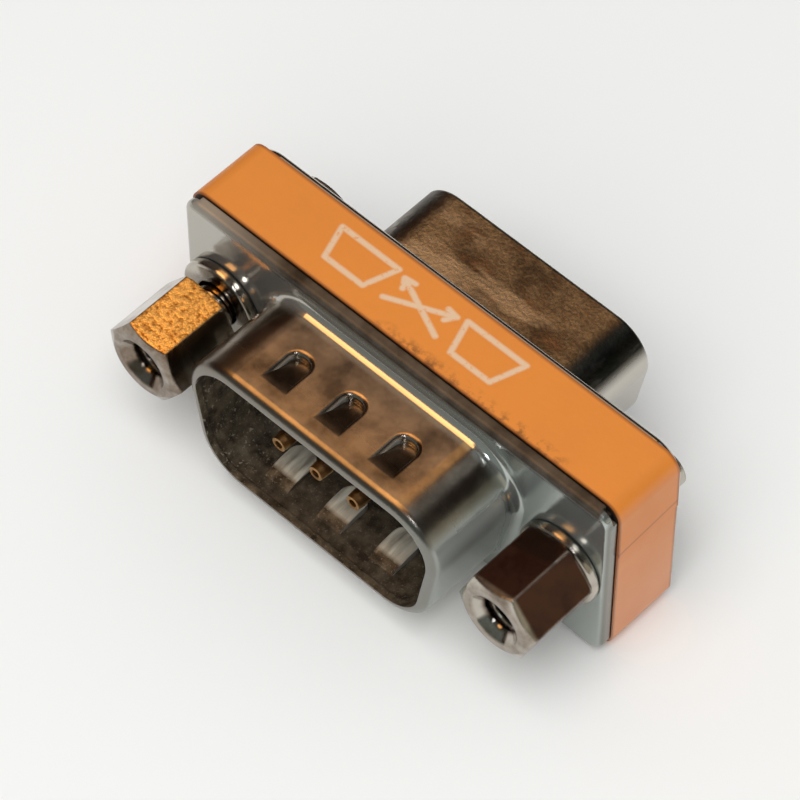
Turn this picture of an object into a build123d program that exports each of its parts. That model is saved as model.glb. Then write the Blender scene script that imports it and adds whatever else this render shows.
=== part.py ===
from build123d import *
import math
import os

# Null modem adapter: a nine-pin male connector back to back with a nine-pin female one.
# X runs across both ports, the male port faces -Y, the female port faces +Y, +Z is up.
# The origin is the middle of the male flange's front face.

# Contact field
contact_pitch = 2.77
row_gap = 2.84
upper_count = 5
lower_count = 4

# Male tube: the room it leaves round the contact field for a mating plug
side_room = 2.92
height_room = 2.76
male_opening_corner = 2.6
side_lean = 10
male_reach = 6.25
lip_turn = 0.18
lip_round = 0.55

# Pressed shells
sheet = 0.45
flange_corner = 1.0
rear_flange_corner = 1.9
fold_round = 0.3
front_tab_relief = 0.8
rear_tab_relief = 1.4
front_tab_depth = 0.7
rear_tab_depth = 0.85
root_round = 0.6
screw_hole = 3.1
flange_end = 2.91

# Dimples pressed into the male tube's long walls, deep towards the flange
dimple_count = 3
dimple_pitch = 3.9
dimple_width = 1.35
dimple_depth = 0.55
dimple_mouth_land = 1.35
dimple_length = 2.5
dimple_wall = 0.4
dimple_end_flat = 0.15
dimple_rim_round = 0.3
pocket_run_out = 5
bump_run_out = 35

# Female tube: how much smaller than the male opening it is, so that it slides in
side_play = 0.295
height_play = 0.23
female_corner = 2.4
female_sheet = 0.4
female_reach = 5.75
female_mouth_round = 0.25

# Insulators: what their flanges add round the male opening
insulator_side = 1.94
insulator_rim = 1.27
insulator_flange = 1.3
insulator_corner = 0.8
male_nose_recess = 5.35
female_nose_recess = 0.15

# Board between the insulators
front_solder_room = 0.75
rear_solder_room = 0.8
board_thickness = 0.8
board_edge = 0.3
via_diameter = 0.5

# Contacts: the missing pin's place in the male insulator stays empty
missing_pin = 9
pin_diameter = 1.02
pin_recess = 1.85
pin_tip_diameter = 0.92
pin_tip_taper = 0.4
pin_tip_bore = 0.52
pin_tip_bore_depth = 1.6
collar_diameter = 1.5
collar_length = 0.5
tail_diameter = 0.7
sleeve_diameter = 1.5
sleeve_bore_depth = 5.4
sleeve_slit = 0.2
sleeve_slit_length = 3.6
entry_diameter = 1.2
entry_chamfer = 0.25
entry_wall = 0.6
solder_diameter = 1.5
solder_height = 0.45
solder_hollow = 0.38

# Spacer frame and wrap label
frame_gap = 0.1
frame_rail = 0.275
cavity_clearance = 0.05
screw_land = 2.095
boss_diameter = 4.0
boss_web = 0.45
pocket_width = 3.2
pocket_height = 2.8
pocket_depth = 3.4
pocket_corner = 0.45
label_thickness = 0.12
rear_edge_shown = 0.42
lap_height = 2.3
lap_thickness = 0.06

# Fasteners
hex_sides = 6
hex_flats = 4.76
hex_length = 4.75
hex_face_diameter = 4.3
hex_foot_diameter = 5.1
hex_chamfer_angle = 30
stud_diameter = 2.6
stud_proud = 0.1
socket_diameter = 2.3
socket_depth = 4.2
socket_mouth_diameter = 3.4
washer_diameter = 5.3
washer_bore = 2.95
washer_thickness = 0.64
washer_round = 0.2
washer_split = 0.4
washer_split_angle = 20
nut_flats = 4.76
nut_thickness = 2.3
nut_face_diameter = 4.5
nut_turn = 15
left_backed_off = 1.05
left_turn = 23
right_turn = -21

# Running clearances
tube_clearance = 0.08
pin_clearance = 0.02
thread_clearance = 0.02

# How far an edge may lie from the plane that it is picked by
on_plane = 0.001

# Sizes across, worked outwards from the contact field
male_opening_width = (upper_count - 1) * contact_pitch + 2 * side_room
male_opening_height = row_gap + 2 * height_room
female_width = male_opening_width - 2 * side_play
female_height = male_opening_height - 2 * height_play
insulator_width = male_opening_width + 2 * insulator_side
insulator_height = male_opening_height + 2 * insulator_rim
cavity_width = insulator_width + 2 * cavity_clearance
cavity_height = insulator_height + 2 * cavity_clearance
frame_inside_height = cavity_height + 2 * frame_rail
tab_inside_height = frame_inside_height + 2 * cavity_clearance
flange_height = tab_inside_height + 2 * sheet
screw_pitch = insulator_width + 2 * screw_land
screw_x = screw_pitch / 2
flange_width = screw_pitch + 2 * flange_end
tab_inside_width = flange_width - 2 * sheet
frame_inside_width = tab_inside_width - 2 * cavity_clearance
male_wall = lip_turn + sheet
male_tube_side = male_opening_width / 2 + male_wall
male_tube_top = male_opening_height / 2 + male_wall

# Places along Y, worked back from the male flange's face
male_mouth = -male_reach
male_insulator_back = sheet + insulator_flange
board_front = male_insulator_back + front_solder_room
board_back = board_front + board_thickness
female_insulator_back = board_back + rear_solder_room
rear_plate_inside = female_insulator_back + insulator_flange
female_face = rear_plate_inside + sheet
female_mouth = female_face + female_reach
female_nose_front = female_mouth - female_nose_recess
sleeve_front = female_nose_front - entry_wall
label_front = front_tab_depth + frame_gap
label_back = female_face - rear_edge_shown
rear_tab_end = female_face - rear_tab_depth
dimple_end = male_reach - dimple_mouth_land
dimple_start = dimple_end - dimple_length
stud_length = washer_thickness + female_face + nut_thickness + stud_proud
lean = math.radians(side_lean)

os.makedirs("parts", exist_ok=True)


def at_depth(depth):
    # Plane across the adapter, this far behind the male flange's face and facing -Y
    return Plane.XZ.offset(-depth)


def turning_plane(x, z):
    # Plane for half a turned outline: radius along +X, length along +Y
    return Plane(origin=(x, 0, z), x_dir=(1, 0, 0), z_dir=(0, 0, 1))


def turning_axis(x, z):
    return Axis((x, 0, z), (0, 1, 0))


def d_outline(width, height, corner):
    # D-shaped outline, wide side up, with its ends leaning in
    half_top = width / 2 + corner * (math.tan(lean) + 1 / math.cos(lean) - 1)
    half_bottom = half_top - height * math.tan(lean)
    with BuildSketch() as outline:
        with BuildLine():
            Polyline(
                (-half_top, height / 2),
                (half_top, height / 2),
                (half_bottom, -height / 2),
                (-half_bottom, -height / 2),
                close=True,
            )
        make_face()
        fillet(outline.vertices(), radius=corner)
    return outline.sketch


def male_outline(growth):
    # The male opening grown by the same amount all round
    return d_outline(
        male_opening_width + 2 * growth,
        male_opening_height + 2 * growth,
        male_opening_corner + growth,
    )


def female_outline(shrink):
    # The female tube's outside shrunk by the same amount all round
    return d_outline(
        female_width - 2 * shrink,
        female_height - 2 * shrink,
        female_corner - shrink,
    )


def contact_places():
    # Middles of the contacts, upper row first, each row from -X to +X
    places = []
    for count, height in ((upper_count, row_gap / 2), (lower_count, -row_gap / 2)):
        for index in range(count):
            places.append(((index - (count - 1) / 2) * contact_pitch, height))
    return places


def tube_edges(part, depth, half_width, half_height):
    # Edges of a tube's outline where it crosses this depth
    edges = part.edges().filter_by_position(Axis.Y, depth - on_plane, depth + on_plane)
    edges = edges.filter_by_position(Axis.X, -half_width, half_width)
    return edges.filter_by_position(Axis.Z, -half_height, half_height)


def folded_plate(tab_depth, corner, relief):
    # Flange with its four edges folded back and a notch wherever two folds would meet
    with BuildPart() as plate:
        with BuildSketch(at_depth(0)):
            RectangleRounded(flange_width, flange_height, corner)
        extrude(amount=-tab_depth)
        fillet(plate.faces().sort_by(Axis.Y)[0].edges(), radius=fold_round)
        with BuildSketch(at_depth(sheet)):
            Rectangle(tab_inside_width, tab_inside_height)
            with GridLocations(flange_width - relief, flange_height - relief, 2, 2):
                Rectangle(relief, relief)
        extrude(amount=sheet - tab_depth, mode=Mode.SUBTRACT)
        with BuildSketch(at_depth(0)):
            with GridLocations(screw_pitch, 0, 2, 1):
                Circle(screw_hole / 2)
        extrude(amount=-sheet, mode=Mode.SUBTRACT)
    return plate.part


def dimple_plan(growth):
    # A dimple seen from above: square towards the mouth, rounded towards the flange
    with BuildSketch() as plan:
        with Locations((0, -(dimple_start + dimple_end) / 2)):
            Rectangle(dimple_width + 2 * growth, dimple_length + 2 * growth)
        fillet(
            plan.vertices().group_by(Axis.Y)[-1],
            radius=(dimple_width - dimple_end_flat) / 2 + growth,
        )
    return plan.sketch


def dimple_wedge(floor, mouth_height, run_out, growth):
    # Space over a dimple's floor, which starts level near the flange and rises towards the mouth
    slope = math.radians(run_out)
    with BuildPart() as wedge:
        with BuildSketch(Plane.YZ):
            with BuildLine():
                Polyline(
                    (-dimple_end, mouth_height),
                    (-dimple_end, male_tube_top + sheet),
                    (growth - dimple_start, male_tube_top + sheet),
                    (growth - dimple_start, floor),
                    (-dimple_start, floor),
                )
                Spline(
                    (-dimple_start, floor),
                    (-dimple_end, mouth_height),
                    tangents=((-1, 0), (-math.cos(slope), math.sin(slope))),
                )
            make_face()
        extrude(amount=dimple_width, both=True)
    return wedge.part


# Metal kept round a dimple's rim: its inner top edge is the rounded rim
rim_reach = 1.5 * dimple_rim_round
with BuildPart() as dimple_rim:
    with BuildSketch(Plane.XY.offset(male_tube_top)):
        add(dimple_plan(rim_reach))
        add(dimple_plan(0), mode=Mode.SUBTRACT)
    extrude(amount=-rim_reach)
    rim_top = dimple_rim.faces().filter_by(Axis.Z).sort_by(Axis.Z)[-1]
    fillet(rim_top.inner_wires()[0].edges(), radius=dimple_rim_round)

# Outside of a dimple: the pocket that shows in the tube's wall
with BuildPart() as dimple_pocket:
    with BuildSketch(Plane.XY.offset(male_tube_top)):
        add(dimple_plan(rim_reach))
    extrude(amount=-rim_reach)
    add(dimple_rim.part, mode=Mode.SUBTRACT)
    with BuildSketch(Plane.XY.offset(male_tube_top)):
        add(dimple_plan(0))
    extrude(amount=-dimple_depth)
    extrude(dimple_pocket.faces().sort_by(Axis.Z)[-1], amount=sheet)
    pocket_floor = male_tube_top - dimple_depth
    add(
        dimple_wedge(pocket_floor, male_tube_top, pocket_run_out, rim_reach),
        mode=Mode.INTERSECT,
    )

# Inside of a dimple: the bump that presses on a mating plug
with BuildPart() as dimple_bump:
    with BuildSketch(Plane.XY.offset(male_tube_top - sheet / 2)):
        add(dimple_plan(dimple_wall / 2))
    extrude(amount=sheet / 2 - dimple_depth - dimple_wall)
    bump_floor = pocket_floor - dimple_wall
    add(
        dimple_wedge(bump_floor, male_tube_top - sheet, bump_run_out, dimple_wall),
        mode=Mode.INTERSECT,
    )


# Male shell: the flange, the tube with its turned-in lip, and the dimples
with BuildPart() as male_shell:
    add(folded_plate(front_tab_depth, flange_corner, front_tab_relief))
    with BuildSketch(at_depth(0)):
        add(male_outline(male_wall))
    extrude(amount=male_reach)
    fillet(male_shell.faces().sort_by(Axis.Y)[0].edges(), radius=lip_round)
    fillet(tube_edges(male_shell, 0, male_tube_side, male_tube_top), radius=root_round)
    with BuildSketch(at_depth(sheet)):
        add(male_outline(lip_turn))
    extrude(amount=male_reach, mode=Mode.SUBTRACT)
    with BuildSketch(at_depth(male_mouth + sheet)):
        add(male_outline(0))
    extrude(amount=sheet, mode=Mode.SUBTRACT)
    fillet(
        tube_edges(male_shell, sheet, male_tube_side, male_tube_top),
        radius=root_round + sheet,
    )
    with GridLocations(dimple_pitch, 0, dimple_count, 1):
        add(dimple_bump.part)
        add(mirror(dimple_bump.part, about=Plane.XY, mode=Mode.PRIVATE))
        add(dimple_pocket.part, mode=Mode.SUBTRACT)
        add(mirror(dimple_pocket.part, about=Plane.XY, mode=Mode.PRIVATE), mode=Mode.SUBTRACT)
male_shell.part.label = "male_shell"
export_step(male_shell.part, "parts/male_shell.step")


# Female shell: a flange turned round, with rounder corners and a narrower tube
with BuildPart() as female_shell:
    with Locations((0, female_face, 0)):
        rear_plate = folded_plate(rear_tab_depth, rear_flange_corner, rear_tab_relief)
        add(mirror(rear_plate, about=Plane.XZ, mode=Mode.PRIVATE))
    with BuildSketch(at_depth(female_face)):
        add(female_outline(0))
    extrude(amount=-female_reach)
    fillet(female_shell.faces().sort_by(Axis.Y)[-1].edges(), radius=female_mouth_round)
    fillet(
        tube_edges(female_shell, female_face, female_width / 2, female_height / 2),
        radius=root_round,
    )
    with BuildSketch(at_depth(rear_plate_inside)):
        add(female_outline(female_sheet))
    extrude(amount=-female_reach - sheet, mode=Mode.SUBTRACT)
    fillet(
        tube_edges(female_shell, rear_plate_inside, female_width / 2, female_height / 2),
        radius=root_round + female_sheet,
    )
female_shell.part.label = "female_shell"
export_step(female_shell.part, "parts/female_shell.step")


# Male insulator: a nose in the tube, a flange behind the plate, and seats for the pin collars
with BuildPart() as male_insulator:
    with BuildSketch(at_depth(sheet)):
        RectangleRounded(insulator_width, insulator_height, insulator_corner)
    extrude(amount=-insulator_flange)
    with BuildSketch(at_depth(sheet)):
        add(male_outline(lip_turn - tube_clearance))
    extrude(amount=male_reach - male_nose_recess + sheet)
    with BuildSketch(at_depth(male_insulator_back)):
        with Locations(*contact_places()):
            Circle(pin_diameter / 2 + pin_clearance)
    extrude(amount=male_reach + male_insulator_back, mode=Mode.SUBTRACT)
    with BuildSketch(at_depth(male_insulator_back)):
        with Locations(*contact_places()):
            Circle(collar_diameter / 2 + pin_clearance)
    extrude(amount=collar_length, mode=Mode.SUBTRACT)
male_insulator.part.label = "male_insulator"
export_step(male_insulator.part, "parts/male_insulator.step")


# Female insulator: a long nose with a chamfered entry and a bore for each contact
with BuildPart() as female_insulator:
    with BuildSketch(at_depth(female_insulator_back)):
        RectangleRounded(insulator_width, insulator_height, insulator_corner)
    extrude(amount=-insulator_flange)
    with BuildSketch(at_depth(rear_plate_inside)):
        add(female_outline(female_sheet + tube_clearance))
    extrude(amount=rear_plate_inside - female_nose_front)
    with BuildSketch(at_depth(female_insulator_back)):
        with Locations(*contact_places()):
            Circle(sleeve_diameter / 2 + pin_clearance)
    extrude(amount=female_insulator_back - sleeve_front, mode=Mode.SUBTRACT)
    with BuildSketch(at_depth(sleeve_front)):
        with Locations(*contact_places()):
            Circle(entry_diameter / 2)
    extrude(amount=-entry_wall, mode=Mode.SUBTRACT)
    entries = female_insulator.edges().filter_by(GeomType.CIRCLE).group_by(Axis.Y)[-1]
    chamfer(entries.filter_by(lambda e: e.radius < entry_diameter), length=entry_chamfer)
female_insulator.part.label = "female_insulator"
export_step(female_insulator.part, "parts/female_insulator.step")


# Male pin: a rolled tip that is hollow, a collar that seats in the insulator, and a tail
pin_tip = male_mouth + pin_recess
with BuildPart() as pin_form:
    with BuildSketch(Plane.XY):
        with BuildLine():
            Polyline(
                (0, pin_tip + pin_tip_bore_depth),
                (pin_tip_bore / 2, pin_tip + pin_tip_bore_depth),
                (pin_tip_bore / 2, pin_tip),
                (pin_tip_diameter / 2, pin_tip),
                (pin_diameter / 2, pin_tip + pin_tip_taper),
                (pin_diameter / 2, male_insulator_back - collar_length),
                (collar_diameter / 2, male_insulator_back - collar_length),
                (collar_diameter / 2, male_insulator_back),
                (tail_diameter / 2, male_insulator_back),
                (tail_diameter / 2, board_front),
                (0, board_front),
                close=True,
            )
        make_face()
    revolve(axis=Axis.Y)

# Female contact: a sleeve split from its mouth, and a tail
with BuildPart() as contact_form:
    with BuildSketch(Plane.XY):
        with BuildLine():
            Polyline(
                (0, sleeve_front - sleeve_bore_depth),
                (pin_diameter / 2 + pin_clearance, sleeve_front - sleeve_bore_depth),
                (pin_diameter / 2 + pin_clearance, sleeve_front),
                (sleeve_diameter / 2, sleeve_front),
                (sleeve_diameter / 2, female_insulator_back),
                (tail_diameter / 2, female_insulator_back),
                (tail_diameter / 2, board_back),
                (0, board_back),
                close=True,
            )
        make_face()
    revolve(axis=Axis.Y)
    with BuildSketch(at_depth(sleeve_front)):
        Rectangle(sleeve_diameter, sleeve_slit)
    extrude(amount=sleeve_slit_length, mode=Mode.SUBTRACT)

for number, (x, z) in enumerate(contact_places(), start=1):
    if number != missing_pin:
        with BuildPart() as male_pin:
            with Locations((x, 0, z)):
                add(pin_form.part)
        male_pin.part.label = f"male_pin_{number}"
        export_step(male_pin.part, f"parts/male_pin_{number}.step")
    with BuildPart() as female_contact:
        with Locations((x, 0, z)):
            add(contact_form.part)
    female_contact.part.label = f"female_contact_{number}"
    export_step(female_contact.part, f"parts/female_contact_{number}.step")


# Board that crosses the lines over, with its plated holes between the contact rows
with BuildPart() as cross_wiring_board:
    with BuildSketch(at_depth(board_front)):
        RectangleRounded(
            insulator_width - 2 * board_edge, insulator_height - 2 * board_edge, insulator_corner
        )
        with GridLocations(contact_pitch, 0, upper_count, 1):
            Circle(via_diameter / 2, mode=Mode.SUBTRACT)
    extrude(amount=-board_thickness)
cross_wiring_board.part.label = "cross_wiring_board"
export_step(cross_wiring_board.part, "parts/cross_wiring_board.step")


def solder_ring(board_face, rise):
    # Hollow-sided ring of solder round a tail: wide on the board, thin where it wets the tail
    tail = tail_diameter / 2
    spread = (solder_diameter - tail_diameter) / 2
    with BuildPart() as ring:
        with BuildSketch(Plane.XY):
            with BuildLine():
                Polyline(
                    (tail, board_face + rise),
                    (tail, board_face),
                    (tail + spread, board_face),
                    (tail + solder_hollow * spread, board_face + solder_hollow * rise),
                    close=True,
                )
            make_face()
        revolve(axis=Axis.Y)
    return ring.part


for name, board_face, rise, left_out in (
    ("front_solder_joints", board_front, -solder_height, missing_pin),
    ("rear_solder_joints", board_back, solder_height, None),
):
    ring_form = solder_ring(board_face, rise)
    with BuildPart() as joints:
        for number, (x, z) in enumerate(contact_places(), start=1):
            if number != left_out:
                with Locations((x, 0, z)):
                    add(ring_form)
    joints.part.label = name
    export_step(joints.part, f"parts/{name}.step")


# Spacer frame: a ring between the flanges, stepped in at both ends to sit inside the folds
with BuildPart() as spacer_frame:
    with BuildSketch(at_depth(label_front)):
        RectangleRounded(flange_width, flange_height, flange_corner)
    extrude(amount=label_front - rear_tab_end)
    with BuildSketch(at_depth(sheet)):
        Rectangle(frame_inside_width, frame_inside_height)
        Rectangle(cavity_width, flange_height, mode=Mode.SUBTRACT)
    extrude(amount=sheet - rear_plate_inside)
    with BuildSketch(at_depth(sheet)):
        Rectangle(cavity_width, cavity_height)
        with GridLocations(screw_pitch, 0, 2, 1):
            Circle(screw_hole / 2)
    extrude(amount=sheet - rear_plate_inside, mode=Mode.SUBTRACT)
    end_middle = (cavity_width + flange_width) / 2
    pocket_pitch = boss_diameter + pocket_height + boss_web
    with BuildSketch(at_depth(rear_plate_inside)):
        with GridLocations(end_middle, pocket_pitch, 2, 2):
            RectangleRounded(pocket_width, pocket_height, pocket_corner)
    extrude(amount=pocket_depth, mode=Mode.SUBTRACT)
spacer_frame.part.label = "spacer_frame"
export_step(spacer_frame.part, "parts/spacer_frame.step")


# Wrap label: a thin band with its lap on the right end
with BuildPart() as wrap_label:
    with BuildSketch(at_depth(label_front)):
        RectangleRounded(
            flange_width + 2 * label_thickness,
            flange_height + 2 * label_thickness,
            flange_corner + label_thickness,
        )
        RectangleRounded(flange_width, flange_height, flange_corner, mode=Mode.SUBTRACT)
    extrude(amount=label_front - label_back)
    with BuildSketch(at_depth(label_front)):
        with BuildLine():
            Polyline(
                (flange_width / 2 + label_thickness, flange_height / 2 - flange_corner),
                (flange_width / 2 + label_thickness + lap_thickness, lap_height),
                (flange_width / 2 + label_thickness, lap_height),
                close=True,
            )
        make_face()
    extrude(amount=label_front - label_back)
wrap_label.part.label = "wrap_label"
export_step(wrap_label.part, "parts/wrap_label.step")


def corner_radius(flats):
    # From a hexagon's middle to its corners
    return flats / 2 / math.cos(math.pi / hex_sides)


def chamfer_run(flats, face_diameter):
    # Length of a hexagon's corner that its turned chamfer takes off
    return (corner_radius(flats) - face_diameter / 2) * math.tan(math.radians(hex_chamfer_angle))


def jack_standoff(x, backed_off, turn):
    # Hexagonal standoff with a tapped socket in front and a stud behind
    foot = -washer_thickness - backed_off
    face = foot - hex_length
    corner = corner_radius(hex_flats)
    mouth_run = (socket_mouth_diameter - socket_diameter) / 2
    with BuildPart() as standoff:
        with BuildSketch(at_depth(foot)):
            with Locations((x, 0)):
                RegularPolygon(
                    hex_flats / 2, hex_sides, major_radius=False, rotation=90 + turn
                )
        extrude(amount=hex_length)
        with BuildSketch(turning_plane(x, 0)):
            with BuildLine():
                Polyline(
                    (0, foot),
                    (hex_foot_diameter / 2, foot),
                    (corner, foot - chamfer_run(hex_flats, hex_foot_diameter)),
                    (corner, face + chamfer_run(hex_flats, hex_face_diameter)),
                    (hex_face_diameter / 2, face),
                    (0, face),
                    close=True,
                )
            make_face()
        revolve(axis=turning_axis(x, 0), mode=Mode.INTERSECT)
        with BuildSketch(at_depth(foot)):
            with Locations((x, 0)):
                Circle(stud_diameter / 2)
        extrude(amount=-stud_length)
        with BuildSketch(turning_plane(x, 0)):
            with BuildLine():
                Polyline(
                    (0, face),
                    (socket_mouth_diameter / 2, face),
                    (socket_diameter / 2, face + mouth_run),
                    (socket_diameter / 2, face + socket_depth),
                    (0, face + socket_depth),
                    close=True,
                )
            make_face()
        revolve(axis=turning_axis(x, 0), mode=Mode.SUBTRACT)
    return standoff.part


def lock_washer(x):
    # Spring washer with a rounded outside and a slanting split at its lower side
    with BuildPart() as washer:
        with BuildSketch(at_depth(0)):
            with Locations((x, 0)):
                Circle(washer_diameter / 2)
        extrude(amount=washer_thickness)
        fillet(washer.edges().filter_by(GeomType.CIRCLE), radius=washer_round)
        with BuildSketch(at_depth(0)):
            with Locations((x, 0)):
                Circle(washer_bore / 2)
        extrude(amount=washer_thickness, mode=Mode.SUBTRACT)
        middle = Vector(x, -washer_thickness / 2, -(washer_diameter + washer_bore) / 4)
        with Locations(Location(middle, (0, 0, washer_split_angle))):
            Box(washer_split, 2 * washer_thickness, washer_diameter / 2, mode=Mode.SUBTRACT)
    return washer.part


# Fasteners on both sides: the left standoff is backed off its washer, the right one is tight
for side, x, backed_off, turn in (
    ("left", -screw_x, left_backed_off, left_turn),
    ("right", screw_x, 0, right_turn),
):
    pieces = {
        f"{side}_jack_standoff": jack_standoff(x, backed_off, turn),
        f"{side}_lock_washer": lock_washer(x),
    }
    for name, piece in pieces.items():
        piece.label = name
        export_step(piece, f"parts/{name}.step")


# Hexagonal nut behind the female flange, on the left stud: the right stud's end is bare
nut_back = female_face + nut_thickness
nut_corner = corner_radius(nut_flats)
nut_bore = stud_diameter / 2 + thread_clearance
with BuildPart() as left_rear_nut:
    with BuildSketch(at_depth(female_face)):
        with Locations((-screw_x, 0)):
            RegularPolygon(
                nut_flats / 2, hex_sides, major_radius=False, rotation=90 + nut_turn
            )
    extrude(amount=-nut_thickness)
    with BuildSketch(turning_plane(-screw_x, 0)):
        with BuildLine():
            Polyline(
                (nut_bore, female_face),
                (nut_corner, female_face),
                (nut_corner, nut_back - chamfer_run(nut_flats, nut_face_diameter)),
                (nut_face_diameter / 2, nut_back),
                (nut_bore, nut_back),
                close=True,
            )
        make_face()
    revolve(axis=turning_axis(-screw_x, 0), mode=Mode.INTERSECT)
left_rear_nut.part.label = "left_rear_nut"
export_step(left_rear_nut.part, "parts/left_rear_nut.step")
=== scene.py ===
import math

import bmesh
import bpy
from mathutils import Matrix, Vector


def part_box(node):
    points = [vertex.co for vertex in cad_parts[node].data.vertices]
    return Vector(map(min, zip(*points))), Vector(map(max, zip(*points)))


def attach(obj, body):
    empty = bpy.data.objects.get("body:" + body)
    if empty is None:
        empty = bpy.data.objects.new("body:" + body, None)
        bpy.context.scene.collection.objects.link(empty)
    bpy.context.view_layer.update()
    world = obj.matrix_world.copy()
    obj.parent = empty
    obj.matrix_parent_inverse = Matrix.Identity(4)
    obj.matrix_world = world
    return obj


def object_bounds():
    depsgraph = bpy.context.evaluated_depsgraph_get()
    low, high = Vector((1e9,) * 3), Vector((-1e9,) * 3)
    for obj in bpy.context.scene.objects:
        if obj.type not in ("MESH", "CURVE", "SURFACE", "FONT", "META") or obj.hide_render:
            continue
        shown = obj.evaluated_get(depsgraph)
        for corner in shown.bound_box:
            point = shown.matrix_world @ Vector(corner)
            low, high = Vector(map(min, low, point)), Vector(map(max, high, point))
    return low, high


# Null modem adapter: finishes, threads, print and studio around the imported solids.
# X runs across both ports, the male port faces -Y, +Z is up. The object's sizes are in millimetres,
# and mm turns them into Blender's metres. The studio's are metres.

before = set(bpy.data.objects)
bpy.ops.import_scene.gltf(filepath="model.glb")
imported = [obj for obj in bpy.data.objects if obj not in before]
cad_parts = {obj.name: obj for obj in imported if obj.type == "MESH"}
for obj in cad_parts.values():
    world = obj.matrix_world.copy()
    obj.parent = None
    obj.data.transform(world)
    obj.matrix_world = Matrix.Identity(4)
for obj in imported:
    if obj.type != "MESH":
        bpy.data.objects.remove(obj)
cadBox = [list(corner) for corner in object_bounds()]
floorHeight = cadBox[0][2]
mm = 0.001
print("frame loaded,", len(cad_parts), "nodes")


def linearColour(hexText):
    # "#RRGGBB" as seen on screen, turned into the linear numbers that a shader takes
    parts = [int(hexText[i:i + 2], 16) / 255 for i in (1, 3, 5)]
    linear = [p / 12.92 if p <= 0.04045 else ((p + 0.055) / 1.055) ** 2.4 for p in parts]
    return (*linear, 1)


def addNode(tree, kind, settings=None, inputs=()):
    # Adds one shader node. Its inputs go by name, or in the order in which the node shows them.
    # Each is a number, a hex colour, a socket to link, or a node that gives its first output.
    made = tree.nodes.new("ShaderNode" + kind)
    for key, value in (settings or {}).items():
        setattr(made, key, value)
    if not isinstance(inputs, dict):
        shown = [i for i, socket in enumerate(made.inputs) if socket.enabled]
        inputs = dict(zip(shown, inputs))
    for key, value in inputs.items():
        if isinstance(value, bpy.types.Node):
            value = next(socket for socket in value.outputs if socket.enabled)
        if isinstance(value, bpy.types.NodeSocket):
            tree.links.new(value, made.inputs[key])
        else:
            made.inputs[key].default_value = linearColour(value) if isinstance(value, str) else value
    return made


def makeObject(name, bm, materials):
    # Turns a bmesh into an object at the origin
    mesh = bpy.data.meshes.new(name)
    bm.to_mesh(mesh)
    bm.free()
    for mat in materials:
        mesh.materials.append(mat)
    made = bpy.data.objects.new(name, mesh)
    bpy.context.scene.collection.objects.link(made)
    return made


# Camera

cameraSetup = {
    "place": Vector((96.1, -99.9, 196.0)) * mm,
    "right": Vector((0.7243, 0.6895, -0.0012)),
    "forward": Vector((-0.4019, 0.4208, -0.8133)),
    "lens": 201.6,  # long lens, close up: 800 pixels take in 44 mm
    "sensor": 36,
    "clip": (0.01, 20),
}


def makeCamera(setup):
    data = bpy.data.cameras.new("camera")
    data.lens = setup["lens"]
    data.sensor_width = setup["sensor"]
    data.clip_start, data.clip_end = setup["clip"]
    camera = bpy.data.objects.new("camera", data)
    bpy.context.scene.collection.objects.link(camera)
    back = -setup["forward"].normalized()
    up = back.cross(setup["right"]).normalized()
    right = up.cross(back)
    turn = Matrix((right, up, back)).transposed()
    camera.matrix_world = Matrix.Translation(setup["place"]) @ turn.to_4x4()
    bpy.context.scene.camera = camera


makeCamera(cameraSetup)
print("camera placed")


# Studio: pale floor, soft lamps, and cards that only the metal sees

studio = {
    "floorSize": 3.0,
    "floorColour": "#F4F4F2",
    "floorRoughness": 0.9,
    "floorShine": 0.1,
    "skyLevel": 0.43,  # light that the white room gives the object
    "backdropLevel": 1.0,  # the same room as the camera and the metal see it
    "lampDistance": 0.5,
    "cardHeight": 0.4,
    "roomSize": 1.6,
    "wallLevel": 1.0,
}

lamps = {
    "topSoftbox": {"direction": (0.1, -0.3, 0.95), "size": 0.4, "power": 1.5, "colour": "#FFFFFF"},
    "frontSoftbox": {"direction": (0.35, -0.75, 0.55), "size": 0.4, "power": 0.6, "colour": "#FFFFFF"},
}

# a dim room round the white table, seen only by glossy rays
roomWalls = {
    "ceiling": {"normal": (0, 0, 1), "colour": "#4A3F37"},
    "backWall": {"normal": (0, 1, 0), "colour": "#3A302A"},
    "leftWall": {"normal": (-1, 0, 0), "colour": "#40302A"},
    "rightWall": {"normal": (1, 0, 0), "colour": "#2A2624"},
    "frontWall": {"normal": (0, -1, 0), "colour": "#6F7673"},
}

# flat panels over the object: how far they reach along X and Y, as shares of their height over it
cards = {
    "warmLamp": {"x": (-0.58, -0.10), "y": (-0.50, 0.32), "colour": "#FFBE78", "level": 4.4},
    "lampGlow": {"x": (-0.80, -0.33), "y": (0.32, 0.80), "colour": "#CDB8A6", "level": 0.95},
    "sideLamp": {"x": (-0.33, -0.08), "y": (0.32, 0.62), "colour": "#FFD29A", "level": 1.1},
    "paleWindow": {"x": (0.02, 0.50), "y": (0.15, 0.95), "colour": "#B4C2CA", "level": 0.8},
    "cameraFlash": {"x": (0.41, 0.58), "y": (-0.60, -0.44), "colour": "#EEF4FF", "level": 30.0},
}

# a pale strip low on the right wall, which streaks the tube's side
skirting = {"x": 0.75, "y": (-0.5, 0.7), "z": (0.005, 0.38), "colour": "#A9A292", "level": 1.0}


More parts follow.
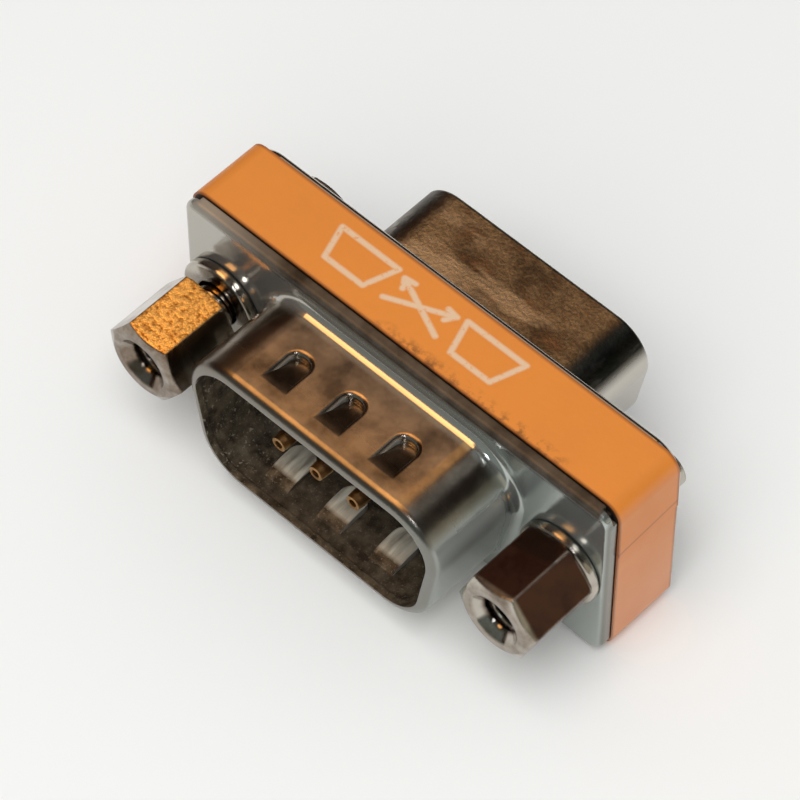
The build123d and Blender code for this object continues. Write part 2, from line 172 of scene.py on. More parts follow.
def makeFloor(setup):
    mat = bpy.data.materials.new("paleStudioPaper")  # matt white sweep, keeps the soft shadow
    mat.use_nodes = True
    tree = mat.node_tree
    tree.nodes.clear()
    paper = addNode(tree, "BsdfPrincipled", None, {
        "Base Color": setup["floorColour"], "Roughness": setup["floorRoughness"],
        "Specular IOR Level": setup["floorShine"]})
    addNode(tree, "OutputMaterial", None, {"Surface": paper})
    bm = bmesh.new()
    bmesh.ops.create_grid(bm, x_segments=1, y_segments=1, size=setup["floorSize"] / 2)
    bmesh.ops.translate(bm, verts=bm.verts, vec=(0, 0, floorHeight))
    makeObject("floor", bm, [mat])


def makeWorld(setup):
    world = bpy.data.worlds.new("whiteRoom")
    bpy.context.scene.world = world
    world.use_nodes = True
    tree = world.node_tree
    tree.nodes.clear()
    rays = addNode(tree, "LightPath").outputs
    seen = addNode(tree, "Math", {"operation": "ADD"}, (rays["Is Camera Ray"], rays["Is Glossy Ray"]))
    seen = addNode(tree, "Math", {"operation": "ADD", "use_clamp": True},
                   (seen, rays["Is Transmission Ray"]))
    lighting = addNode(tree, "Background", None, {"Color": "#FFFFFF", "Strength": setup["skyLevel"]})
    backdrop = addNode(tree, "Background", None, {"Color": "#FFFFFF", "Strength": setup["backdropLevel"]})
    both = addNode(tree, "MixShader", None, (seen, lighting, backdrop))
    addNode(tree, "OutputWorld", None, {"Surface": both})


def makeLamps(lampList, distance):
    for name, setup in lampList.items():
        data = bpy.data.lights.new(name, "AREA")
        data.size = setup["size"]
        data.energy = setup["power"]
        data.color = linearColour(setup["colour"])[:3]
        lamp = bpy.data.objects.new(name, data)
        bpy.context.scene.collection.objects.link(lamp)
        aim = Vector(setup["direction"]).normalized()
        facing = aim.to_track_quat("Z", "Y").to_matrix().to_4x4()
        lamp.matrix_world = Matrix.Translation(aim * distance) @ facing
        lamp.visible_glossy = False  # the cards give the metal its reflections


def plainGlow(name, hexText, level):
    mat = bpy.data.materials.new(name)
    mat.use_nodes = True
    tree = mat.node_tree
    tree.nodes.clear()
    glow = addNode(tree, "Emission", None, {"Color": hexText, "Strength": level})
    addNode(tree, "OutputMaterial", None, {"Surface": glow})
    return mat


def hangInStudio(name, bm, materials):
    # A thing of the studio that shows only in the metal, and throws no shadow
    thing = makeObject(name, bm, materials)
    thing.visible_camera = False
    thing.visible_diffuse = False
    thing.visible_transmission = False
    thing.visible_shadow = False


def makeRoom(walls, setup):
    bm = bmesh.new()
    bmesh.ops.create_cube(bm, size=setup["roomSize"])
    bmesh.ops.translate(bm, verts=bm.verts, vec=(0, 0, setup["roomSize"] / 2 + floorHeight))
    faces = {tuple(round(part) for part in face.normal): face for face in bm.faces}
    for slot, wall in enumerate(walls.values()):
        faces.pop(wall["normal"]).material_index = slot
    bmesh.ops.delete(bm, geom=list(faces.values()), context="FACES_ONLY")  # the floor is there already
    glows = [plainGlow(name, wall["colour"], setup["wallLevel"]) for name, wall in walls.items()]
    hangInStudio("dimRoom", bm, glows)


def makeCards(cardList, height):
    for name, setup in cardList.items():
        bm = bmesh.new()
        bmesh.ops.create_grid(bm, x_segments=1, y_segments=1, size=height / 2)
        spread = [setup[side][1] - setup[side][0] for side in ("x", "y")]
        middle = [sum(setup[side]) / 2 * height for side in ("x", "y")]
        bmesh.ops.scale(bm, vec=(*spread, 1), verts=bm.verts)
        bmesh.ops.translate(bm, vec=(*middle, height), verts=bm.verts)
        hangInStudio(name, bm, [plainGlow(name, setup["colour"], setup["level"])])


def makeSkirting(setup):
    bm = bmesh.new()
    bmesh.ops.create_grid(bm, x_segments=1, y_segments=1, size=0.5)
    bmesh.ops.rotate(bm, verts=bm.verts, matrix=Matrix.Rotation(math.tau / 4, 3, "Y"))
    spread = [setup[side][1] - setup[side][0] for side in ("y", "z")]
    middle = [sum(setup[side]) / 2 for side in ("y", "z")]
    bmesh.ops.scale(bm, vec=(1, *spread), verts=bm.verts)
    bmesh.ops.translate(bm, vec=(setup["x"], *middle), verts=bm.verts)
    hangInStudio("skirting", bm, [plainGlow("skirting", setup["colour"], setup["level"])])


makeFloor(studio)
makeWorld(studio)
makeLamps(lamps, studio["lampDistance"])
makeRoom(roomWalls, studio)
makeCards(cards, studio["cardHeight"])
makeSkirting(skirting)
bpy.context.scene.view_settings.view_transform = "Standard"
print("studio ready")


# Materials. In each look, a grain is a noise: its size in millimetres, its detail, and the two levels
# that become 0 and 1. A zone is a mask: what it is measured on, where it starts and where it is full,
# then its values there when they aren't 0 and 1.

fineShare = 0.6  # how strong the finer clouds of a grain are
cornerSamples = 6
edgeSamples = 4


def makeMaterial(name, surface, look, **choices):
    # The surface function fills the tree from its look, and gives the inputs of the shader
    mat = bpy.data.materials.new(name)
    mat.use_nodes = True
    tree = mat.node_tree
    tree.nodes.clear()
    metres = addNode(tree, "TexCoord").outputs["Object"]
    place = addNode(tree, "Mapping", None, {"Vector": metres, "Scale": (1 / mm, 1 / mm, 1 / mm)})
    shader = addNode(tree, "BsdfPrincipled", None, surface(tree, place, look, **choices))
    addNode(tree, "OutputMaterial", None, {"Surface": shader})
    return mat


def measure(tree, place):
    # What zones are measured on: the place, its distance from the middle, and the way the surface faces
    at = {"normal": addNode(tree, "NewGeometry").outputs["Normal"]}
    away = addNode(tree, "VectorMath", {"operation": "ABSOLUTE"}, (place,))
    for kind, source in (("", place), ("off", away), ("face", at["normal"])):
        for axis, part in zip("XYZ", addNode(tree, "SeparateXYZ", None, (source,)).outputs):
            at[kind + axis] = part
    return at


def zoneMasks(tree, at, zones):
    # The masks of all the zones of a look, by name
    return {name: addNode(tree, "MapRange", None, (at[measured], *limits))
            for name, (measured, *limits) in zones.items()}


def grain(tree, place, pattern):
    # Clouds of a real size, with a clear patch and a full patch where the noise passes its two levels
    size, detail, low, high = pattern
    noise = addNode(tree, "TexNoise", None,
                    {"Vector": place, "Scale": 1 / size, "Detail": detail, "Roughness": fineShare})
    return addNode(tree, "MapRange", None, (noise, low, high))


def crevice(tree, reach, openShade, deepShade):
    # 1 deep in a corner or a hole, 0 out in the open, by ambient occlusion: the mask of painted shade
    shade = addNode(tree, "AmbientOcclusion", {"samples": cornerSamples}, {"Distance": reach * mm})
    return addNode(tree, "MapRange", None, (shade.outputs["AO"], openShade, deepShade))


def overlap(tree, *masks):
    # 1 only where every mask is 1; a plain number makes the whole fainter
    whole, *others = masks
    for mask in others:
        whole = addNode(tree, "Math", {"operation": "MULTIPLY"}, (whole, mask))
    return whole


def paint(tree, colour, *layers):
    # Lays colours over the first one, each where its masks overlap
    for over, *masks in layers:
        colour = addNode(tree, "Mix", {"data_type": "RGBA"}, (overlap(tree, *masks), colour, over))
    return colour


def atLeast(tree, level, *layers):
    # Raises a level where the product of a layer is higher
    for layer in layers:
        level = addNode(tree, "Math", {"operation": "MAXIMUM"}, (level, overlap(tree, *layer)))
    return level


# Nickel-plated steel of the male shell: a bright flange, a brown-smoked tube, a black dirty inside

maleLook = {
    "clean": "#B5B1A8",
    "cool": "#B5BBB6",  # the right end has kept more of its colour
    "smoke": "#978877",  # brown film that the tube's upper side has tarnished to
    "film": "#5B5147",  # where the film is thicker
    # painted shade for corners and hollows
    "paintedShade": "#1B1712",
    "dust": "#A39A88",
    "inside": "#766B59",
    "soot": "#352D23",
    # dirt and painted shade along the flange's upper edge
    "rimDirtAndShade": "#554D42",
    "rimSootAndShade": "#28221B",
    "rimPale": "#8E887D",
    "padWearAndSheen": "#D8D4C4",  # worn matt by mating plugs, and painted lighter for the light that the pads catch
    "smokeGrain": (2.6, 5, 0.38, 0.66),
    "smudgeGrain": (2.0, 4, 0.35, 0.7),
    "dirtGrain": (0.9, 5, 0.34, 0.64),
    "dustGrain": (0.13, 2, 0.60, 0.70),
    "dustCover": 0.5,
    "speckGrain": (0.32, 3, 0.60, 0.66),
    "streakGrain": (0.5, 3, 0.3, 0.7),
    "streakStretch": (1, 0.15, 0.15),
    "streakCover": (0.35, 1.0),
    "peelGrain": (0.6, 2, 0.2, 0.8),  # ripple of the plating, about one micron deep
    "peelDepth": 0.0012,
    "edge": 0.10,
    "corner": (1.3, 0.50, 0.05),  # reach, and the shades that count as open and as deep
    "cornerCover": 0.8,
    "plateRoughness": (0.08, 0.17),
    "scuffRoughness": 0.38,
    "dirtRoughness": 0.5,
    "flangeHaze": 0.2,  # dulled by handling
    "scuffHaze": 0.5,
    "rimHaze": 0.7,
    "coveredMetal": 0.1,  # what is left of the metal under dirt
    "zones": {
        "tube": ("Y", -0.35, -1.0),
        "lip": ("Y", -5.2, -5.7, 1.0, 0.8),
        "mouth": ("Y", -5.7, -6.05, 0, 0.6),
        "tubeRoughness": ("Y", -1.2, -5.2, 0.20, 0.30),  # scuffed more and more towards the lip
        "cavity": ("Y", 0.1, -0.2),
        "coolEnd": ("X", 2.0, 9.0),
        "dullEnd": ("X", 8.0, 10.5, 0, 0.08),
        "darkRimSpan": ("X", -13.5, -8.5),
        "speckEnd": ("X", -3.5, -6.5),
        "fold": ("offX", 15.2, 15.35, 0, 0.6),
        "rimReach": ("offX", 15.1, 14.7),
        "rimHeight": ("Z", 5.56, 5.96),
        "innerHeight": ("offZ", 4.45, 4.35),
        "padTop": ("offZ", 4.10, 4.02),
        "padFoot": ("offZ", 3.6, 3.7),
        "padReach": ("offX", 5.1, 4.9),
        "upward": ("faceZ", 0.45, 0.9),
        "rightward": ("faceX", 0.75, 0.95),
        "inward": ("faceOut", -0.4, -1.6),
    },
}


def smokedNickel(tree, place, look):
    at = measure(tree, place)
    outward = addNode(tree, "VectorMath", {"operation": "MULTIPLY"}, (place, (1, 0, 1)))
    at["faceOut"] = addNode(tree, "VectorMath", {"operation": "DOT_PRODUCT"}, (outward, at["normal"]))
    zone = zoneMasks(tree, at, look["zones"])
    corner = crevice(tree, *look["corner"])
    smudges = grain(tree, place, look["smudgeGrain"])

    # brown film on the tube's upper side, scuffs on its right side
    clean = paint(tree, look["clean"], (look["cool"], zone["coolEnd"]))
    brown = paint(tree, look["smoke"], (look["film"], grain(tree, place, look["smokeGrain"])))
    scuffed = overlap(tree, zone["rightward"], zone["tube"])

    # dirt and painted shade lie along the flange's upper edge, under the label, but not at its two ends
    rim = overlap(tree, zone["rimReach"], zone["rimHeight"])
    darkRim = paint(tree, look["rimDirtAndShade"], (look["rimSootAndShade"], smudges))
    rimColour = paint(tree, look["rimPale"], (darkRim, zone["darkRimSpan"]))

    # the inside is where the surface faces the middle of the tube
    inside = overlap(tree, zone["inward"], zone["innerHeight"], zone["cavity"])
    specks = overlap(tree, grain(tree, place, look["speckGrain"]), zone["speckEnd"])
    dusty = atLeast(tree, specks, (grain(tree, place, look["dustGrain"]), look["dustCover"]))
    lining = paint(tree, look["inside"],
                   (look["soot"], grain(tree, place, look["dirtGrain"])),
                   (look["dust"], dusty))
    drawn = addNode(tree, "Mapping", None, {"Vector": place, "Scale": look["streakStretch"]})
    streaks = addNode(tree, "MapRange", None,
                      (grain(tree, drawn, look["streakGrain"]), 0, 1, *look["streakCover"]))
    # pale pads inside: real wear, and a painted highlight for the light that they catch
    padsWearAndSheen = overlap(tree, inside, zone["padTop"], zone["padFoot"], zone["padReach"], streaks)

    colour = paint(tree, clean,
                   (brown, zone["tube"], zone["upward"], zone["lip"]),
                   (look["film"], zone["mouth"]),
                   # painted shade in corners and hollows, from ambient occlusion
                   (look["paintedShade"], corner, look["cornerCover"]),
                   (rimColour, rim),
                   # the flange's folded ends: dirt and painted shade
                   (look["rimDirtAndShade"], zone["fold"]),
                   (lining, inside),
                   (look["padWearAndSheen"], padsWearAndSheen))

    plate = addNode(tree, "MapRange", None, (smudges, 0, 1, *look["plateRoughness"]))
    plate = addNode(tree, "Math", {"operation": "ADD"}, (plate, zone["dullEnd"]))
    rough = addNode(tree, "Mix", {"data_type": "FLOAT"}, (zone["tube"], plate, zone["tubeRoughness"]))
    rough = atLeast(tree, rough, (scuffed, look["scuffRoughness"]),
                    (inside, look["dirtRoughness"]), (rim, look["dirtRoughness"]))

    haze = addNode(tree, "MapRange", None, (zone["tube"], 0, 1, look["flangeHaze"], 0))
    haze = atLeast(tree, haze, (padsWearAndSheen,), (inside, look["scuffHaze"]), (scuffed, look["scuffHaze"]),
                   (rim, look["rimHaze"]))
    metal = addNode(tree, "MapRange", None, (haze, 0, 1, 1, look["coveredMetal"]))

    rounded = addNode(tree, "Bevel", {"samples": edgeSamples}, {"Radius": look["edge"] * mm})
    bump = addNode(tree, "Bump", None, {"Height": grain(tree, place, look["peelGrain"]),
                                        "Distance": look["peelDepth"] * mm, "Normal": rounded})
    return {"Base Color": colour, "Metallic": metal, "Roughness": rough, "Normal": bump}


# The same plating on the female shell: tarnished dark brown and sandy, cleaner at its right end

femaleLook = {
    "clean": "#C2BDB4",
    "tarnish": "#8A8275",
    "dark": "#47423D",
    "rust": "#8A7360",
    "turned": "#262C2A",
    "patchGrain": (2.4, 5, 0.40, 0.60),
    "sandGrain": (0.20, 4, 0.36, 0.66),
    "sandCover": 0.55,
    "sandDepth": 0.007,
    "rustGrain": (1.2, 4, 0.52, 0.68),
    "rustCover": 0.45,
    "streakGrain": (1.1, 3, 0.56, 0.66),
    "streakStretch": (0.12, 0.5, 1.6),
    "streakCover": 0.5,
    "corner": (1.3, 0.50, 0.05),
    "cornerCover": 0.8,
    "roughness": (0.14, 0.36),  # clean and tarnished
    "slant": -0.25,  # how the tarnish's right edge leans with height
    "zones": {
        "tube": ("Y", 6.0, 6.5),
        "tarnished": ("slanted", 7.5, 6.9),
        "turned": ("X", 5.6, 6.4, 0, 0.8),  # where the wall starts to turn down: painted dark reflection
    },
}


def tarnishedNickel(tree, place, look):
    at = measure(tree, place)
    at["slanted"] = addNode(tree, "Math", {"operation": "MULTIPLY_ADD"}, (at["Z"], look["slant"], at["X"]))
    zone = zoneMasks(tree, at, look["zones"])
    tarnish = overlap(tree, zone["tube"], zone["tarnished"])
    sand = grain(tree, place, look["sandGrain"])
    drawn = addNode(tree, "Mapping", None, {"Vector": place, "Scale": look["streakStretch"]})
    brown = paint(tree, look["tarnish"],
                  (look["dark"], grain(tree, place, look["patchGrain"])),
                  (look["dark"], sand, look["sandCover"]),
                  (look["rust"], grain(tree, place, look["rustGrain"]), look["rustCover"]),
                  (look["clean"], grain(tree, drawn, look["streakGrain"]), look["streakCover"]),
                  # painted dark reflection where the wall turns down
                  (look["turned"], zone["turned"]))
    # painted shade: the last layer darkens corners and hollows by ambient occlusion
    colour = paint(tree, look["clean"],
                   (brown, tarnish),
                   (look["dark"], crevice(tree, *look["corner"]), look["cornerCover"]))
    rough = addNode(tree, "MapRange", None, (tarnish, 0, 1, *look["roughness"]))
    bump = addNode(tree, "Bump", None, {"Height": overlap(tree, sand, tarnish),
                                        "Distance": look["sandDepth"] * mm})
    return {"Base Color": colour, "Metallic": 1, "Roughness": rough, "Normal": bump}


# Nickel-plated brass of the screws: turned bright, smoked brown, the left one pitted on its upper flat,
# with painted glints and painted shade among its pits

fastenerLook = {
    "clean": "#BDB6AB",
    "film": "#6E5A48",
    "smoke": "#66493D",
    "soot": "#453532",
    # painted shade in corners and hollows
    "paintedShade": "#17120E",
    # the upper flat's flecks: painted glints and painted shade over real pits
    "pitted": "#DDB978",
    "pitShade": "#94682F",
    "edge": 0.22,  # rounding of the turned and milled edges
    "cloudGrain": (1.6, 4, 0.45, 0.8),
    "scuffGrain": (0.7, 4, 0.3, 0.65),
    "scuffCover": (0.35, 0.9),
    "peelGrain": (0.35, 3, 0.2, 0.8),
    "peelDepth": 0.0010,
    "pitGrain": (0.26, 4, 0.3, 0.7),
    "pitDepth": 0.006,
    "pitGlint": (0.1, 0.6),
    "corner": (1.6, 0.40, 0.05),
    "roughness": (0.12, 0.3),
    "zones": {
        "flat": ("faceEdge", 0.93, 0.99),
        "behindEnd": ("Y", -5.0, -4.8),
        "overFlange": ("Y", 0.3, 0),
        "openEnd": ("Y", -5.2, -5.5),  # scratched and dirty from plugs being screwed on
        "topFlat": ("faceZ", 0.95, 0.985),
    },
}


def nickelOnBrass(tree, place, look, pitted=False, smoked=False):
    at = measure(tree, place)
    rounded = addNode(tree, "Bevel", {"samples": edgeSamples}, {"Radius": look["edge"] * mm})
    at["faceEdge"] = addNode(tree, "VectorMath", {"operation": "DOT_PRODUCT"}, (at["normal"], rounded))
    zone = zoneMasks(tree, at, look["zones"])
    clouds = grain(tree, place, look["cloudGrain"])
    corner = crevice(tree, *look["corner"])
    colour = paint(tree, look["clean"], (look["film"], clouds))
    height = overlap(tree, grain(tree, place, look["peelGrain"]), look["peelDepth"])
    if smoked:  # the edges and the end are worn bright
        smoke = paint(tree, look["smoke"], (look["soot"], clouds))
        colour = paint(tree, colour, (smoke, zone["flat"], zone["behindEnd"], zone["overFlange"]))
    scuffs = addNode(tree, "MapRange", None,
                     (grain(tree, place, look["scuffGrain"]), 0, 1, *look["scuffCover"]))
    colour = paint(tree, colour, (look["film"], zone["openEnd"], scuffs))
    if pitted:
        # bright and dark flecks over the pits' real bump: painted glints and painted shade
        pits = grain(tree, place, look["pitGrain"])
        glint = addNode(tree, "MapRange", None, (pits, *look["pitGlint"]))
        glitter = paint(tree, look["pitShade"], (look["pitted"], glint))
        colour = paint(tree, colour, (glitter, zone["topFlat"]))
        pitHeight = overlap(tree, zone["topFlat"], pits, look["pitDepth"])
        height = addNode(tree, "Math", {"operation": "ADD"}, (height, pitHeight))
    # painted shade in corners and hollows, from ambient occlusion
    colour = paint(tree, colour, (look["paintedShade"], corner))
    rough = addNode(tree, "MapRange", None, (atLeast(tree, clouds, (corner,)), 0, 1, *look["roughness"]))
    bump = addNode(tree, "Bump", None, {"Height": height, "Distance": mm, "Normal": rounded})
    return {"Base Color": colour, "Metallic": 1, "Roughness": rough, "Normal": bump}


# Gold flash over nickel on the contacts: warm and a little worn at the tips

goldLook = {
    "gold": "#EDC48C",
    "worn": "#C99A66",
    "cloudGrain": (0.8, 3, 0.4, 0.7),
    "roughness": (0.28, 0.4),
}


def goldFlash(tree, place, look):
    clouds = grain(tree, place, look["cloudGrain"])
    rough = addNode(tree, "MapRange", None, (clouds, 0, 1, *look["roughness"]))
    colour = paint(tree, look["gold"], (look["worn"], clouds))
    return {"Base Color": colour, "Metallic": 1, "Roughness": rough}


# Glass-filled polyester of the insulators: black, dull, with grey dust in it

insulatorLook = {
    "plastic": "#15130F",
    "dust": "#6E665A",
    "dustGrain": (0.16, 3, 0.58, 0.70),
    "skinGrain": (0.3, 3, 0.2, 0.8),
    "skinDepth": 0.004,
    "roughness": (0.38, 0.7),
    "maleDust": 0.7,
    "femaleDust": 0.2,
}


def dullPolyester(tree, place, look, dustCover=0.0):
    dust = grain(tree, place, look["dustGrain"])
    colour = paint(tree, look["plastic"], (look["dust"], dust, dustCover))
    rough = addNode(tree, "MapRange", None, (dust, 0, 1, *look["roughness"]))
    bump = addNode(tree, "Bump", None, {"Height": grain(tree, place, look["skinGrain"]),
                                        "Distance": look["skinDepth"] * mm})
    return {"Base Color": colour, "Metallic": 0, "Roughness": rough, "Normal": bump}


# Glass-epoxy board under green varnish, its sawn edges bare

boardLook = {
    "varnish": "#1F5A33",
    "edge": "#9AA05F",
    "weaveGrain": (0.4, 2, 0.3, 0.7),
    "weaveCover": 0.25,
    "roughness": 0.3,
    "zones": {"face": ("broadside", 0.3, 0.7)},
}


def greenEpoxy(tree, place, look):
    at = measure(tree, place)
    at["broadside"] = addNode(tree, "Math", {"operation": "ABSOLUTE"}, (at["faceY"],))
    zone = zoneMasks(tree, at, look["zones"])
    weave = grain(tree, place, look["weaveGrain"])
    varnish = paint(tree, look["varnish"], (look["edge"], weave, look["weaveCover"]))
    colour = paint(tree, look["edge"], (varnish, zone["face"]))
    return {"Base Color": colour, "Metallic": 0, "Roughness": look["roughness"]}


# Tin-lead solder: satin grey, slightly lumpy

solderLook = {
    "tin": "#B9B8B2",
    "dull": "#8D8C88",
    "lumpGrain": (0.35, 2, 0.3, 0.7),
    "lumpDepth": 0.01,
    "roughness": 0.35,
}


def tinLead(tree, place, look):
    lumps = grain(tree, place, look["lumpGrain"])
    bump = addNode(tree, "Bump", None, {"Height": lumps, "Distance": look["lumpDepth"] * mm})
    colour = paint(tree, look["tin"], (look["dull"], lumps))
    return {"Base Color": colour, "Metallic": 1, "Roughness": look["roughness"], "Normal": bump}


# Wrap label: orange vinyl, satin, with pale worn ink and dirt along its edges

labelLook = {
    "orange": "#DB832F",
    "deep": "#CC7425",
    "ink": "#DCC4A6",
    # painted sheen on the right end face, stronger towards the bottom
    "paintedSheen": "#DDA486",
    "stain": "#4A3016",
    # dirt and painted shadow lines along the label's edges and its lap
    "edgeDirtAndShade": "#7A3F1C",
    "cloudGrain": (5.0, 3, 0.35, 0.75),
    "cloudCover": 0.35,
    "wearGrain": (0.35, 3, 0.22, 0.42),
    "inkCover": 0.78,
    "smudgeGrain": (0.8, 4, 0.47, 0.62),
    "stainCover": 0.85,
    "skinGrain": (0.35, 2, 0.2, 0.8),
    "skinDepth": 0.004,
    "roughness": (0.36, 0.5),
    "lapHeight": 2.5,  # the label overlaps itself here on the right end
    "lapSlope": 0.0587,
    "zones": {
        "top": ("Z", 6.2, 6.3),
        "stainStart": ("X", -4.0, 0.5),
        "stainStop": ("X", 11.8, 10.5),
        "stainReach": ("fromFront", 0.85, 0.05),
        "frontEdge": ("fromFront", 0.16, 0.04, 0, 0.75),
        "rearEdge": ("fromRear", 0.22, 0.04, 0, 0.75),
        "end": ("X", 15.2, 15.4),
        "fade": ("Z", 3.5, -5.5, 0.1, 0.55),
        "lap": ("fromLap", 0.13, 0.05, 0, 0.4),
    },
}

# two port outlines joined by crossed arrows, printed on the label's top
printLook = {
    "middle": Vector((-1.0, 3.3)),
    "portOffset": 4.6,
    "portHalf": Vector((1.75, 1.05)),
    "portLean": 0.35,
    "arrowHalf": Vector((1.9, 0.85)),
    "arrowHead": 0.7,
    "arrowSpread": math.radians(32),
    "stroke": 0.34,  # width of the printed lines
    "soft": 0.07,
}


def printLines(look):
    # The two points of each printed line
    lines = []
    for side in (-1, 1):
        port = look["middle"] + Vector((side * look["portOffset"], 0))
        half = look["portHalf"]
        corners = [port + Vector((sx * (half.x + sy * look["portLean"]), sy * half.y))
                   for sx, sy in ((-1, 1), (1, 1), (1, -1), (-1, -1))]
        lines += [(corners[i - 1], corners[i]) for i in range(4)]
        reach = Vector((side * look["arrowHalf"].x, look["arrowHalf"].y))
        tail = look["middle"] - reach
        tip = look["middle"] + reach
        lines.append((tail, tip))
        back = (tail - tip).normalized() * look["arrowHead"]
        for turn in (-look["arrowSpread"], look["arrowSpread"]):
            lines.append((tip, tip + Matrix.Rotation(turn, 2) @ back))
    return lines


def inkMask(tree, place, look):
    # Distance to the nearest printed line, turned into a soft-edged stroke
    nearest = None
    flat = addNode(tree, "VectorMath", {"operation": "MULTIPLY"}, (place, (1, 1, 0)))
    for start, end in printLines(look):
        run = end - start
        fromStart = addNode(tree, "VectorMath", {"operation": "SUBTRACT"}, (flat, (*start, 0)))
        along = addNode(tree, "VectorMath", {"operation": "DOT_PRODUCT"},
                        (fromStart, (*(run / run.length_squared), 0)))
        share = addNode(tree, "Clamp", None, (along,))
        foot = addNode(tree, "VectorMath", {"operation": "SCALE"}, ((*run, 0), share))
        away = addNode(tree, "VectorMath", {"operation": "DISTANCE"}, (fromStart, foot))
        nearest = addNode(tree, "Math", {"operation": "MINIMUM"}, (nearest, away)) if nearest else away
    half = look["stroke"] / 2
    return addNode(tree, "MapRange", None, (nearest, half + look["soft"], half - look["soft"]))


def orangeVinyl(tree, place, look):
    at = measure(tree, place)
    low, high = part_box("wrap_label")
    at["fromFront"] = addNode(tree, "Math", {"operation": "SUBTRACT"}, (at["Y"], low.y / mm))
    at["fromRear"] = addNode(tree, "Math", {"operation": "SUBTRACT"}, (high.y / mm, at["Y"]))
    level = addNode(tree, "Math", {"operation": "MULTIPLY_ADD"}, (at["Y"], -look["lapSlope"], at["Z"]))
    overLap = addNode(tree, "Math", {"operation": "SUBTRACT"}, (level, look["lapHeight"]))
    at["fromLap"] = addNode(tree, "Math", {"operation": "ABSOLUTE"}, (overLap,))
    zone = zoneMasks(tree, at, look["zones"])
    clouds = grain(tree, place, look["cloudGrain"])
    wear = grain(tree, place, look["wearGrain"])
    smudges = grain(tree, place, look["smudgeGrain"])
    colour = paint(tree, look["orange"],
                   (look["deep"], clouds, look["cloudCover"]),
                   (look["ink"], inkMask(tree, place, printLook), zone["top"], wear, look["inkCover"]),
                   # dirt creeps in over the top's front edge, right of the middle
                   (look["stain"], zone["stainReach"], smudges, zone["stainStart"], zone["stainStop"],
                    zone["top"], look["stainCover"]),
                   # dirt and painted shade along the front and rear edges and the lap; painted sheen on
                   # the right end
                   (look["edgeDirtAndShade"], zone["frontEdge"]),
                   (look["edgeDirtAndShade"], zone["rearEdge"]),
                   (look["paintedSheen"], zone["end"], zone["fade"]),
                   (look["edgeDirtAndShade"], zone["end"], zone["lap"]))
    rough = addNode(tree, "MapRange", None, (clouds, 0, 1, *look["roughness"]))
    bump = addNode(tree, "Bump", None, {"Height": grain(tree, place, look["skinGrain"]),
                                        "Distance": look["skinDepth"] * mm})
    return {"Base Color": colour, "Metallic": 0, "Roughness": rough, "Normal": bump}


# Spacer frame: black moulded nylon, almost hidden

frameLook = {
    "plastic": "#1A1714",
    "bloom": "#2A251F",
    "skinGrain": (0.25, 2, 0.2, 0.8),
    "skinDepth": 0.006,
    "roughness": 0.5,
}


def blackNylon(tree, place, look):
    skin = grain(tree, place, look["skinGrain"])
    bump = addNode(tree, "Bump", None, {"Height": skin, "Distance": look["skinDepth"] * mm})
    colour = paint(tree, look["plastic"], (look["bloom"], skin))
    return {"Base Color": colour, "Metallic": 0, "Roughness": look["roughness"], "Normal": bump}


print("materials")
brightNickel = makeMaterial("brightNickelOnBrass", nickelOnBrass, fastenerLook)
pittedNickel = makeMaterial("pittedNickelOnBrass", nickelOnBrass, fastenerLook, pitted=True)
brownNickel = makeMaterial("smokedNickelOnBrass", nickelOnBrass, fastenerLook, smoked=True)
dustyBlack = makeMaterial("dustyBlackPolyester", dullPolyester, insulatorLook,
                          dustCover=insulatorLook["maleDust"])
plainBlack = makeMaterial("blackPolyester", dullPolyester, insulatorLook,
                          dustCover=insulatorLook["femaleDust"])
solder = makeMaterial("satinSolder", tinLead, solderLook)
gold = makeMaterial("goldFlashOnBrass", goldFlash, goldLook)

finishes = {
    "male_shell": makeMaterial("smokedNickelOnSteel", smokedNickel, maleLook),
    "female_shell": makeMaterial("tarnishedNickelOnSteel", tarnishedNickel, femaleLook),
    "male_insulator": dustyBlack,
    "female_insulator": plainBlack,
    "cross_wiring_board": makeMaterial("glassEpoxyBoard", greenEpoxy, boardLook),
    "front_solder_joints": solder,
    "rear_solder_joints": solder,
    "spacer_frame": makeMaterial("blackNylonSpacer", blackNylon, frameLook),
    "wrap_label": makeMaterial("orangeVinylLabel", orangeVinyl, labelLook),
    "left_jack_standoff": pittedNickel,
    "right_jack_standoff": brownNickel,
    "left_lock_washer": brightNickel,
    "right_lock_washer": brightNickel,
    "left_rear_nut": brightNickel,
}

for name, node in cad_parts.items():
    contact = name.startswith(("male_pin", "female_contact"))
    node.data.materials.clear()
    node.data.materials.append(gold if contact else finishes[name])
print("finishes on", len(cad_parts), "nodes")


# Threads: the CAD's studs and sockets are plain at their core, so a ridge is wound on each

threadShape = {
    "pitch": 0.635,  # 4-40 screws
    "steps": 24,
    "ridgeHalf": 0.27,
    "bedding": 0.02,  # how far a ridge's foot lies in the wall
    "mergeWithin": 0.001,
}

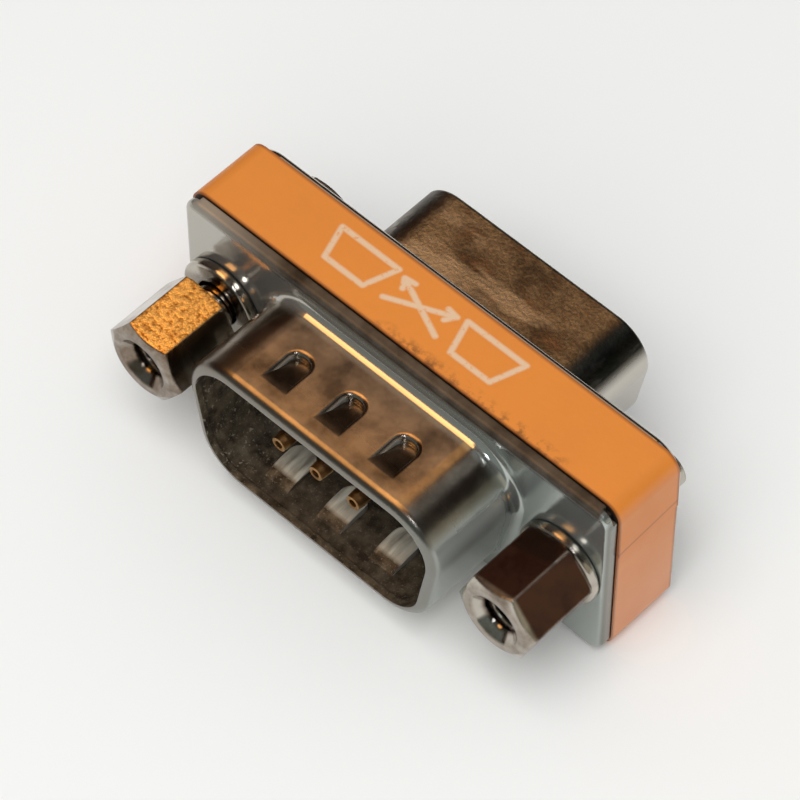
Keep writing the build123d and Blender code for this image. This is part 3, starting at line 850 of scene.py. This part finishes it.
washerLow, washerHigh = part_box("left_lock_washer")
leftX = (washerLow.x + washerHigh.x) / 2 / mm
rightX = -leftX
socketStart = 0.85  # past the chamfer
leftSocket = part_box("left_jack_standoff")[0].y / mm + socketStart
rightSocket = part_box("right_jack_standoff")[0].y / mm + socketStart

# place across, where it starts, how far it runs, wall that it winds on, how far it stands off it
threads = {
    "left_stud_thread": {"x": leftX, "start": -1.62, "run": 0.95, "wall": 1.3, "rise": 0.12},
    "right_stud_thread": {"x": rightX, "start": 6.15, "run": 1.8, "wall": 1.3, "rise": 0.12},
    "left_socket_thread": {"x": leftX, "start": leftSocket, "run": 2.9, "wall": 1.15, "rise": -0.14},
    "right_socket_thread": {"x": rightX, "start": rightSocket, "run": 2.9, "wall": 1.15, "rise": -0.14},
    "left_nut_thread": {"x": leftX, "start": 7.45, "run": 0.4, "wall": 1.32, "rise": -0.12},
}


def windThread(name, setup, shape, finish):
    # Spins a three-cornered ridge round the screw while it moves along it
    bm = bmesh.new()
    steps = round(setup["run"] / shape["pitch"] * shape["steps"])
    foot = setup["wall"] - math.copysign(shape["bedding"], setup["rise"])
    profile = ((foot, -shape["ridgeHalf"]), (setup["wall"] + setup["rise"], 0), (foot, shape["ridgeHalf"]))
    corners = [bm.verts.new(((setup["x"] + radius) * mm, (setup["start"] + along) * mm, 0))
               for radius, along in profile]
    section = bm.faces.new(corners)
    bmesh.ops.spin(bm, geom=[section], cent=(setup["x"] * mm, 0, 0), axis=(0, 1, 0),
                   dvec=(0, shape["pitch"] / shape["steps"] * mm, 0),
                   angle=math.tau / shape["steps"] * steps, steps=steps, use_merge=False)
    bmesh.ops.remove_doubles(bm, verts=bm.verts, dist=shape["mergeWithin"] * mm)
    bmesh.ops.recalc_face_normals(bm, faces=bm.faces)
    for face in bm.faces:
        face.smooth = len(face.verts) == 4  # the ridge is smooth along its run, flat at its two ends
    piece = makeObject(name, bm, [finish])
    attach(piece, "root")


for name, setup in threads.items():
    windThread(name, setup, threadShape, brightNickel)
print("threads wound:", len(threads))

print("finishing")
